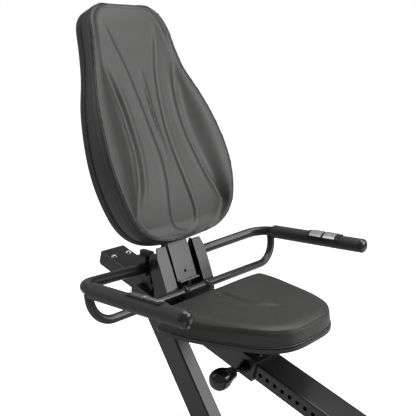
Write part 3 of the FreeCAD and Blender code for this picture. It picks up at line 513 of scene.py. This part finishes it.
def swell(thing, cap, held):
    """held(points) is 1 where the cover is sewn down, and 0 where it is free."""
    remesh = thing.modifiers.new("even", "REMESH")
    remesh.mode = "VOXEL"
    remesh.voxel_size = VOXEL
    baked(thing)
    rest = points_of(thing)
    group = thing.vertex_groups.new(name="sewn")
    for index, share in enumerate(held(rest)):
        group.add([index], float(share), "REPLACE")
    cloth = thing.modifiers.new("cover", "CLOTH")
    cloth.settings.vertex_group_mass = "sewn"
    cloth.settings.use_pressure = True
    cloth.settings.uniform_pressure_force = PRESSURE
    cloth.settings.effector_weights.gravity = 0
    for stiffness, value in COVER_STIFF.items():
        setattr(cloth.settings, stiffness, value)
    for step in range(1, SWELL_FRAMES + 1):
        bpy.context.scene.frame_set(step)
    baked(thing)
    thing.vertex_groups.clear()
    push = evened(thing, points_of(thing) - rest)
    size = np.linalg.norm(push, axis=1)
    share = (1 - held(rest)) * cap * np.tanh(size / cap) / np.maximum(size, LEAST)
    move_points(thing, rest + push * share[:, None])
    bpy.context.scene.frame_set(1)
    print(thing.name, "swelled by", round(float(np.median(size)) / MM, 1), "mm in the middle of its panels")
    finer = thing.modifiers.new("finer", "SUBSURF")
    finer.levels = finer.render_levels = 1
    baked(thing)
    thing.data.shade_smooth()


def near(points, line):
    """Each point's distance to a line of points, and how far along the line it is, from 0 to 1."""
    tree = KDTree(len(line))
    for index, spot in enumerate(line):
        tree.insert((spot[0], spot[1], spot[2] if len(spot) > 2 else 0.0), index)
    tree.balance()
    found = [tree.find((p[0], p[1], p[2] if len(p) > 2 else 0.0))[1:] for p in points]
    index, distance = np.array(found).T
    return distance, index / (len(line) - 1)


# %% [markdown]
# The backrest is a tall shield of foam on a board. Its front bulges at the hips and again at the
# shoulders. Across, it is a sunken middle panel between two proud bolsters, with a step down where they
# meet. The board's own rim gives the outline, and the CAD cushion gives the side curve. The front is built
# as rings that shrink from the rim to the spine, and front_form() says how deep each of their points lies.

# %% Backrest form
RIM_STEPS = 240
back_rim = rim("backrest_board", back, 0.0, RIM_STEPS)
back_curve = back.local(verts("backrest_cushion"))
FRONT_ONLY = 12 * MM
back_curve = back_curve[back_curve[:, 2] > FRONT_ONLY]
back_curve = back_curve[np.argsort(back_curve[:, 1])]
CURVE_ORDER = 6
curve_fit = np.polynomial.Polynomial.fit(back_curve[:, 1], back_curve[:, 2], CURVE_ORDER)
left_side = back_rim[back_rim[:, 0] > 0]
left_side = left_side[np.argsort(left_side[:, 1])]


def side_depth(v):
    return curve_fit(np.clip(v, back_curve[0, 1], back_curve[-1, 1]))


def half_width(v):
    return np.interp(v, left_side[:, 1], left_side[:, 0])


# In millimetres, by height: how far the middle panel and the bolsters' crests stand over the side curve,
# and how far from the middle the line between them runs.
PANEL_V = (0, 40, 70, 130, 190, 250, 280, 340, 400, 460, 520, 565)
PANEL_D = (0, -7, -8, -9.5, -11, -12.5, -12, -9, -5, -1, 1, 0)
CREST_V = (0, 30, 70, 140, 300, 350, 400, 430, 470, 520, 565)
CREST_D = (2, 8, 10, 11, 12, 9, 4, 0, 2, 6, 3)
OUTER_V = (40, 70, 92, 122, 152, 182, 212, 242, 272, 302, 332, 362, 392, 422, 460, 520)
OUTER_Y = (168, 146, 129.5, 117.6, 107.9, 100.4, 94.5, 91, 89.4, 89.1, 91.1, 94.5, 98.1, 102.6, 110, 118)
STEP_DOWN = 4 * MM
STEP_WIDE = 11 * MM
CREST_IN = 15 * MM
CREST_FALL = 0.2
SWELL_CAP = 5 * MM
SWELL_ROOM = 0.9
SPINE_LOW, SPINE_HIGH = 150 * MM, 430 * MM


def by_height(v, heights, values):
    return np.interp(v, np.array(heights) * MM, np.array(values) * MM)


def front_form(y, v):
    """The front's height over its side curve: a sunken middle panel, a step down, and a proud bolster."""
    away, edge = np.abs(y), half_width(v)
    panel, crest = by_height(v, PANEL_V, PANEL_D), by_height(v, CREST_V, CREST_D)
    line = np.minimum(by_height(v, OUTER_V, OUTER_Y), edge - 2 * CREST_IN)
    depth = STEP_DOWN * ease(v, 50 * MM, 110 * MM) * (1 - ease(v, 400 * MM, 460 * MM))
    valley = panel - depth * ease(away, line - STEP_WIDE / 2, line + STEP_WIDE / 2)
    rise = ease(away, line + STEP_WIDE / 2, np.maximum(edge - CREST_IN, line + STEP_WIDE))
    form = valley + (crest - valley) * rise - crest * CREST_FALL * ease(away, edge - CREST_IN, edge)
    return form - SWELL_CAP * SWELL_ROOM * ease(edge - away, 6 * MM, 24 * MM) * ease(v, 10 * MM, 40 * MM)


def back_ring(loop, height):
    return back.world(np.column_stack([loop, np.broadcast_to(height, len(loop))]))


spine = np.column_stack([np.zeros(RIM_STEPS), np.clip(back_rim[:, 1], SPINE_LOW, SPINE_HIGH)])
rim_depth = side_depth(back_rim[:, 1])
rings = [back_ring(inward(back_rim, 2 * MM), 0.4 * MM)]
for up in (0.15, 0.5, 0.85):
    rings.append(back_ring(inward(back_rim, (1.0 - 4 * up * (1 - up)) * MM), rim_depth * up))
front_loop = inward(back_rim, 1.5 * MM)
rim_form = rim_depth + front_form(front_loop[:, 0], front_loop[:, 1])
rings.append(back_ring(front_loop, rim_form))
for share in np.concatenate([np.linspace(0.985, 0.86, 6), np.linspace(0.82, 0.02, 24)]):
    loop = spine + (front_loop - spine) * share
    rings.append(back_ring(loop, side_depth(loop[:, 1]) + front_form(loop[:, 0], loop[:, 1])))
backrest = stack("backrest_cover", rings)
print("backrest form", len(rings), "rings of", RIM_STEPS)

# %% [markdown]
# The cover is sewn to the board all round the back, and has a seam all round the front. Near either line
# it is held; everywhere else the air may lift it.

# %% Swell the backrest
SEW_REACH = 20 * MM
front_seam = back_ring(front_loop, rim_form - 1 * MM)
rear_seam = back_ring(inward(back_rim, 1.5 * MM), 1 * MM)


def held_back(points):
    sewn = np.minimum(near(points, front_seam)[0], near(points, rear_seam)[0])
    behind = back.local(points)[:, 2] < 2 * MM
    return np.where(behind, 1.0, 1 - ease(sewn, 2 * MM, SEW_REACH))


swell(backrest, SWELL_CAP, held_back)

# %% [markdown]
# Down the middle of the front a long tongue is pressed into the foam, narrow at the waist and open at the
# shoulders. It is a panel a few millimetres lower than the rest, so its edge is a soft wall and not a
# groove. It is pressed after the swelling, when nothing will smooth it away. The outer lines of the
# front get a narrow valley where the cover is drawn in.

# %% Backrest grooves
TONGUE_V = (20, 24, 32, 45, 62, 92, 122, 152, 182, 212, 242, 272, 302, 332, 362, 392, 422, 452, 482, 512, 545)
TONGUE_Y = (0, 18, 31.8, 38.5, 40.8, 37.6, 32.1, 27.1, 23.6, 22, 22.6, 23.8, 26.1, 29, 32.6, 37.7, 43.7, 52,
            61.2, 69.8, 76)
TONGUE_FADE = 480 * MM, 556 * MM
TONGUE_DEEP = 3.6 * MM
TONGUE_WALL = 10 * MM
TONGUE_LIP = 0.5 * MM
TONGUE_LIP_HALF = 5 * MM
OUTER_DEEP = 1.8 * MM
OUTER_RUN = slice(2, 14)
OUTER_FADE = 0.2
CREASE_HALF = 6.5 * MM
CREASE_LIP = 1.3 * MM
FACING = 0.25, 0.7


def hump(distance, half):
    return np.exp(-((distance / half) ** 2))


def groove(distance, deep):
    return CREASE_LIP * hump(distance - 2 * CREASE_HALF, CREASE_HALF) - deep * hump(distance, CREASE_HALF)


def facing(thing, out):
    """1 where a thing's surface faces along out, falling softly to 0 where it turns away."""
    return ease(points_of(thing, "normal") @ out, *FACING)


def sink_tongue(thing):
    place = points_of(thing)
    local = back.local(place)
    edge = smooth_line([(y * MM, v * MM) for v, y in zip(TONGUE_V, TONGUE_Y)])
    away, v = np.abs(local[:, 0]), local[:, 1]
    distance = near(np.column_stack([away, v]), edge)[0]
    inside = (away < by_height(v, TONGUE_V, TONGUE_Y)) & (v > TONGUE_V[0] * MM)
    signed = np.where(inside, -distance, distance)
    depth = TONGUE_DEEP * (1 - ease(v, *TONGUE_FADE))
    fall = -depth * (1 - ease(signed, -TONGUE_WALL / 2, TONGUE_WALL / 2))
    lip = TONGUE_LIP * hump(signed - TONGUE_WALL, TONGUE_LIP_HALF) * (depth / TONGUE_DEEP)
    out = back.matrix[2]
    move_points(thing, place + ((fall + lip) * facing(thing, out))[:, None] * out)


def press(thing, axes, lines, deep, fade):
    """Push a cushion's face in along its lines, each fading out over a share of its length at both ends."""
    place = points_of(thing)
    local = axes.local(place)
    out = axes.matrix[2]
    toward = facing(thing, out)
    shift = np.zeros(len(place))
    for line in lines:
        distance, along = near(local[:, :2], line)
        strength = ease(along, 0, fade) * (1 - ease(along, 1 - fade, 1))
        shift += groove(distance, deep) * strength * toward
    move_points(thing, place + shift[:, None] * out)


sink_tongue(backrest)
outer_lines = []
for side in (-1, 1):
    points = [(side * y * MM, v * MM) for v, y in zip(OUTER_V[OUTER_RUN], OUTER_Y[OUTER_RUN])]
    outer_lines.append(smooth_line(points))
press(backrest, back, outer_lines, OUTER_DEEP, OUTER_FADE)

# %% [markdown]
# A seam pulls the cover in along its whole line, so the panels on both sides of it seem fuller. After that
# the cushion is done: it replaces its CAD solid, rides on the seat's body and wears the charcoal leatherette.

# %% Finish the backrest


def tuck(thing, seam, deep, reach):
    place = points_of(thing)
    pull = -deep * hump(near(place, seam)[0], reach)
    move_points(thing, place + points_of(thing, "normal") * pull[:, None])


def finish_cushion(thing, node):
    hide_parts(node)
    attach(thing, "seat")
    thing.data.materials.append(seat_cover)
    print(thing.name, len(thing.data.polygons), "faces")


tuck(backrest, front_seam, 2.4 * MM, 4.0 * MM)
finish_cushion(backrest, "backrest_cushion")

# %% [markdown]
# The seat is a shallow pad on a moulded pan: a near-upright band all round, a seam, and a broad soft
# shoulder that rolls on to the top. The band is taller at the front than beside the hips. The top is a
# little hollow where the rider sits, with one pressed crease and a soft swell beside it.

# %% Seat form
pan_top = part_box("seat_pan")[1].z
seat_rim = rim("seat_pan", level, pan_top, RIM_STEPS)
seat_rear, seat_tip = seat_rim[:, 0].min(), seat_rim[:, 0].max()
CENTRE_BACK = 10 * MM
seat_centre = np.array([(seat_rear + seat_tip) / 2 - CENTRE_BACK, 0.0])
BAND_REAR = 24 * MM
BAND_FRONT = 33 * MM
SHOULDER_RISE = 15 * MM
SHOULDER_REACH = 24 * MM
SEAT_HOLLOW = 3 * MM
forward = ease(seat_rim[:, 0], seat_tip - 190 * MM, seat_tip - 70 * MM)
band_height = BAND_REAR + (BAND_FRONT - BAND_REAR) * forward
seam_in = (9 - 4 * forward) * MM


def seat_ring(inset, height):
    return np.column_stack([inward(seat_rim, inset), np.broadcast_to(height, RIM_STEPS)])


rings = [seat_ring(3 * MM, pan_top + 0.4 * MM)]
for share in (0.12, 0.4, 0.7, 0.97):
    rings.append(seat_ring(1 * MM + (seam_in - 1 * MM) * share, pan_top + band_height * share))
for turn in np.linspace(0.12, 1, 7) * math.pi / 2:
    inset = seam_in + SHOULDER_REACH * (1 - math.cos(turn))
    rise = SHOULDER_RISE * math.sin(turn) * (1.25 - 0.55 * forward)
    rings.append(seat_ring(inset, pan_top + band_height + rise))
shoulder = rings[-1]
for share in np.linspace(0.9, 0.04, 12):
    loop = seat_centre + (shoulder[:, :2] - seat_centre) * share
    hollow = -SEAT_HOLLOW * (1 - share**2)
    height = shoulder[:, 2] * share + shoulder[:, 2].mean() * (1 - share) + hollow
    rings.append(np.column_stack([loop, height]))
seat = stack("seat_cover_pad", rings)
print("seat form", len(rings), "rings of", RIM_STEPS)

# %% [markdown]
# The seat swells in the same way, held at its top seam, at the pan and underneath.

# %% Swell the seat
SEAT_SEW_REACH = 22 * MM
SEAT_CAP = 4 * MM
seat_seam = seat_ring(seam_in, pan_top + band_height)
pan_seam = seat_ring(1 * MM, pan_top + 1.5 * MM)


def held_seat(points):
    sewn = np.minimum(near(points, seat_seam)[0], near(points, pan_seam)[0])
    under = points[:, 2] < pan_top + 2 * MM
    return np.where(under, 1.0, 1 - ease(sewn, 2 * MM, SEAT_SEW_REACH))


swell(seat, SEAT_CAP, held_seat)

# %% [markdown]
# One crease runs from the back of the seat forwards and turns towards the left thigh. A low soft swell
# keeps it company on the right. Both are lines of a few points, in millimetres from the seat's rear edge.

# %% Seat crease
CREASE = ((36, -12), (56, -17.5), (101, -20.5), (143, -20), (177, -10), (202, 4.5), (220, 20))
SWELL_LINE = ((70, -55), (128, -54), (167, -50), (193, -42), (222, -26), (245, -2))
CREASE_DEEP, CREASE_FADE = 4.2 * MM, 0.2
SWELL_RISE, SWELL_HALF, SWELL_FADE = 1.8 * MM, 14 * MM, 0.3


def on_seat(points):
    return smooth_line([(seat_rear + x * MM, y * MM) for x, y in points])


press(seat, level, [on_seat(CREASE)], CREASE_DEEP, CREASE_FADE)
place = points_of(seat)
distance, along = near(place[:, :2], on_seat(SWELL_LINE))
fade = ease(along, 0, SWELL_FADE) * (1 - ease(along, 1 - SWELL_FADE, 1))
place[:, 2] += SWELL_RISE * hump(distance, SWELL_HALF) * fade * facing(seat, level.matrix[2])
move_points(seat, place)
tuck(seat, seat_seam, 1.3 * MM, 3.2 * MM)
finish_cushion(seat, "seat_cushion")

# %% [markdown]
# Piping and stitches follow the seams, so they are one job for Geometry Nodes: a line goes in, and a cord
# or a row of small threads comes out. A tree is written once with named sizes, and used again for each
# seam. Its result becomes a plain mesh before the piece is handed to the frame.

# %% Trees that follow a line


def tree_of(name, inputs):
    tree = bpy.data.node_groups.new(name, "GeometryNodeTree")
    tree.interface.new_socket("Line", in_out="INPUT", socket_type="NodeSocketGeometry")
    for label, kind in inputs.items():
        tree.interface.new_socket(label, in_out="INPUT", socket_type="NodeSocket" + kind)
    tree.interface.new_socket("Made", in_out="OUTPUT", socket_type="NodeSocketGeometry")
    sheet = Sheet(tree)
    entry = tree.nodes.new("NodeGroupInput")
    ports = {s.name: Socket(sheet, s) for s in entry.outputs if s.name}
    return tree, sheet, ports


def close_tree(tree, sheet, made, finish):
    whole = sheet.node("GeometryNodeRealizeInstances", {}, {"Geometry": made})
    dressed = sheet.node("GeometryNodeSetMaterial", {}, {"Geometry": whole, "Material": finish})
    tree.links.new(dressed.out, tree.nodes.new("NodeGroupOutput").inputs[0])


cord_tree, sheet, ports = tree_of("sewn_cord", {"Radius": "Float", "Finish": "Material"})
ring = sheet.node("GeometryNodeCurvePrimitiveCircle", {}, {"Resolution": 8, "Radius": ports["Radius"]})
line = sheet.node("GeometryNodeMeshToCurve", {}, {"Mesh": ports["Line"]})
cord = sheet.node("GeometryNodeCurveToMesh", {}, {"Curve": line, "Profile Curve": ring, "Fill Caps": True})
cord = sheet.node("GeometryNodeSetShadeSmooth", {}, {"Geometry": cord})
close_tree(cord_tree, sheet, cord, ports["Finish"])

sizes_in = {"Spacing": "Float", "Thread": "Vector", "Finish": "Material"}
stitch_tree, sheet, ports = tree_of("stitch_row", sizes_in)
line = sheet.node("GeometryNodeMeshToCurve", {}, {"Mesh": ports["Line"]})
steps = {"Curve": line, "Length": ports["Spacing"]}
spots = sheet.node("GeometryNodeCurveToPoints", {"mode": "LENGTH"}, steps)
way = Socket(sheet, spots.out.node.outputs["Tangent"])
turn = sheet.node("FunctionNodeAlignRotationToVector", {"axis": "Z"}, {"Vector": way})
thread = sheet.node("GeometryNodeMeshUVSphere", {}, {"Segments": 6, "Rings": 4, "Radius": 1.0})
row = sheet.node("GeometryNodeInstanceOnPoints", {}, {"Points": spots, "Instance": thread, "Rotation": turn,
                                                      "Scale": ports["Thread"]})
close_tree(stitch_tree, sheet, row, ports["Finish"])


def follow(name, lines, tree, finish, **sizes):
    """A piece of the seat's cover, made by a tree along one or more closed lines of points."""
    points = np.vstack(lines)
    edges = []
    start = 0
    for line in lines:
        count = len(line)
        edges += [(start + i, start + i + 1) for i in range(count - 1)]
        edges.append((start + count - 1, start))
        start += count
    piece = mesh_object(name, points, [], edges)
    maker = piece.modifiers.new("maker", "NODES")
    maker.node_group = tree
    sockets = {s.name: s.identifier for s in tree.interface.items_tree if s.in_out == "INPUT"}
    for label, value in dict(sizes, Finish=finish).items():
        maker[sockets[label]] = value
    baked(piece)
    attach(piece, "seat")
    print(name, len(piece.data.polygons), "faces")


def laid_on(thing, line, lift):
    """Drop a line of points on to a thing's surface, and lift it along the surface's normals."""
    bm = bmesh.new()
    bm.from_mesh(thing.data)
    tree = BVHTree.FromBMesh(bm)
    bm.free()
    laid = []
    for spot in line:
        found, normal = tree.find_nearest(Vector(spot))[:2]
        laid.append(found + normal * lift)
    return np.array(laid)


# %% [markdown]
# The backrest has a piped seam round the front and another round the back, and a row of stitches beside
# each. Piping is a smooth vinyl cord; thread is finer, rougher and just as black.

# %% Thread and piping finishes
thread_black = finish_of("sewing_thread", moulded(0.010, 0.016, 0.55, 2500.0, 0.3))
piping_skin = finish_of("piping_vinyl", moulded(0.010, 0.016, 0.36, 700.0, 0.1))

# %% Backrest seams
PIPING_R = 2.0 * MM
WELT_R = 0.9 * MM
ON_TOP = 0.2 * MM
PIPING_PROUD = 0.6 * MM
PAN_PROUD = 1.0 * MM
STITCH = {"Spacing": 4.2 * MM, "Thread": (0.42 * MM, 0.42 * MM, 1.5 * MM)}
back_lines = [laid_on(backrest, front_seam, PIPING_PROUD), laid_on(backrest, rear_seam, ON_TOP)]
follow("backrest_piping", back_lines, cord_tree, piping_skin, Radius=PIPING_R)
inner_line = inward(back_rim, 12 * MM)
band_line = inward(back_rim, 1.5 * MM)
stitch_lines = [laid_on(backrest, back_ring(inner_line, rim_form), ON_TOP),
                laid_on(backrest, back_ring(band_line, rim_depth - 11 * MM), ON_TOP)]
follow("backrest_stitches", stitch_lines, stitch_tree, thread_black, **STITCH)

# %% [markdown]
# The seat's cover is piped at the pan and has a thin welt at its top seam, with stitches above and below.

# %% Seat seams
seat_lines = [laid_on(seat, seat_seam, ON_TOP), laid_on(seat, pan_seam, PAN_PROUD)]
follow("seat_piping", [seat_lines[1]], cord_tree, piping_skin, Radius=PIPING_R)
follow("seat_welt", [seat_lines[0]], cord_tree, piping_skin, Radius=WELT_R)
below = laid_on(seat, seat_ring(seam_in - 1 * MM, pan_top + band_height - 4 * MM), ON_TOP)
above = laid_on(seat, seat_ring(seam_in + 2 * MM, pan_top + band_height + 5 * MM), ON_TOP)
follow("seat_stitches", [below, above], stitch_tree, thread_black, **STITCH)

# %% [markdown]
# Grips, end caps and the pull knob are turned forms: a profile swept round an axis. They could be lathed
# with a Screw modifier, but rings of points let a profile change round the turn as well, which is how the
# knob gets its flutes. The axis is read off the CAD node.

# %% Turning round an axis
TURN_STEPS = 64
MERGE = 0.001 * MM


def across(way):
    """Two directions square to a way that isn't upright, and to each other."""
    side = np.cross(way, (0, 0, 1.0))
    side /= np.linalg.norm(side)
    return side, np.cross(way, side)


def main_line(points):
    """The middle line of a long straight piece: its front end, the way back along it, and its length."""
    way = np.linalg.svd(points - points.mean(axis=0), full_matrices=False)[2][0]
    way = way if way[0] < 0 else -way
    along = points @ way
    start = way * along.min()
    for side in across(way):
        reach = points @ side
        start = start + side * (reach.min() + reach.max()) / 2
    return start, way, along.max() - along.min()


def turned(name, start, way, profile, body, slot, flutes=None):
    """A piece turned from (along, radius) in millimetres. A profile that ends where it began makes a sleeve."""
    way = np.array(way, float)
    side, other = across(way)
    turn = np.arange(TURN_STEPS) * 2 * math.pi / TURN_STEPS
    rings = []
    for along, radius in profile:
        reach = radius * MM * (1 - (flutes(along, turn) if flutes else 0 * turn))
        around = np.outer(np.cos(turn) * reach, side) + np.outer(np.sin(turn) * reach, other)
        rings.append(start + way * along * MM + around)
    piece = stack(name, rings)
    bm = bmesh.new()
    bm.from_mesh(piece.data)
    if profile[0] == profile[-1]:
        bm.verts.ensure_lookup_table()
        bmesh.ops.delete(bm, geom=[bm.verts[-1], bm.verts[-2]], context="VERTS")
        bmesh.ops.remove_doubles(bm, verts=bm.verts, dist=MERGE)
    bmesh.ops.recalc_face_normals(bm, faces=bm.faces)
    bm.to_mesh(piece.data)
    bm.free()
    piece.data.shade_smooth()
    piece.data.materials.append(finishes[slot])
    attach(piece, body)
    return piece


# %% [markdown]
# A foam grip is a sleeve whose ends are rolled over, not cut square. Its end cap is a hard glossy dome that
# stands on a lip a little wider than the foam.

# %% Grips and their caps
GRIP_HOLE, GRIP_OUT = 12.7, 17.6
GRIP_STEPS = 12
LIP_TOP, DOME_RISE, DOME_R = 4.8, 8.2, 16.9
sleeves, caps = [], []
grip_points = verts("grips")
for side, word in ((-1, "right"), (1, "left")):
    points = grip_points[grip_points[:, 1] * side > 0]
    tip, inward_way, length = main_line(points)
    full = length / MM
    foam = [(0.3, GRIP_HOLE), (0.3, 15.6), (0.7, 16.7), (1.8, 17.4), (4, GRIP_OUT)]
    foam += [(4 + (full - 10) * k / GRIP_STEPS, GRIP_OUT) for k in range(1, GRIP_STEPS + 1)]
    foam += [(full - 3.5, 17.3), (full - 1.6, 16.6), (full - 0.5, 15.4), (full, 14.0), (full, GRIP_HOLE)]
    foam.append(foam[0])
    sleeves.append(turned("grip_sleeve_" + word, tip, inward_way, foam, "seat", "grip_foam"))
    cap = [(0, 0.3), (0, 16.6), (0.5, 17.5), (1.4, 18.0), (3.2, 18.0), (4.2, 17.5), (LIP_TOP, DOME_R)]
    cap += [(LIP_TOP + DOME_RISE * math.sin(a), DOME_R * math.cos(a)) for a in np.linspace(0.12, 1.5, 12)]
    caps.append(turned("grip_end_" + word, tip, -inward_way, cap, "seat", "gloss_cap"))
for group, node in ((sleeves, "grips"), (caps, "grip_caps")):
    for piece in group:
        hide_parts(node)
print("grips", len(sleeves), "caps", len(caps))

# %% [markdown]
# The pull knob is a glossy pear. Its broad dome fits the palm, and ten shallow flutes round its neck give
# the fingers a hold.

# %% Pull knob
KNOB_PROFILE = [(0, 0.3), (0.35, 4), (1.3, 8.5), (3.2, 13), (6.2, 17.3), (10.5, 20.8), (16, 23.0),
                (22, 23.9), (28, 23.9), (33, 23.3), (38, 21.9), (43, 19.9), (48, 17.8), (53, 16.2),
                (58, 15.0), (62.5, 14.2), (65, 13.5), (66, 12.4), (66, 0.3)]
KNOB_FLUTES = 10
FLUTE_DEEP = 0.09


def knob_flutes(along, turn):
    on_neck = ease(along, 30, 42) * (1 - ease(along, 62, 66))
    return FLUTE_DEEP * on_neck * (0.5 - 0.5 * np.cos(KNOB_FLUTES * turn))


knob_low, knob_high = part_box("pin_knob")
knob_middle = (np.array(knob_low) + np.array(knob_high)) / 2
outer_end = np.array([knob_middle[0], knob_low[1], knob_middle[2]])
knob = turned("pull_knob", outer_end, (0, 1, 0), KNOB_PROFILE, "seat_pin", "gloss_knob", knob_flutes)
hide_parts("pin_knob")
print("knob", len(knob.data.polygons), "faces")
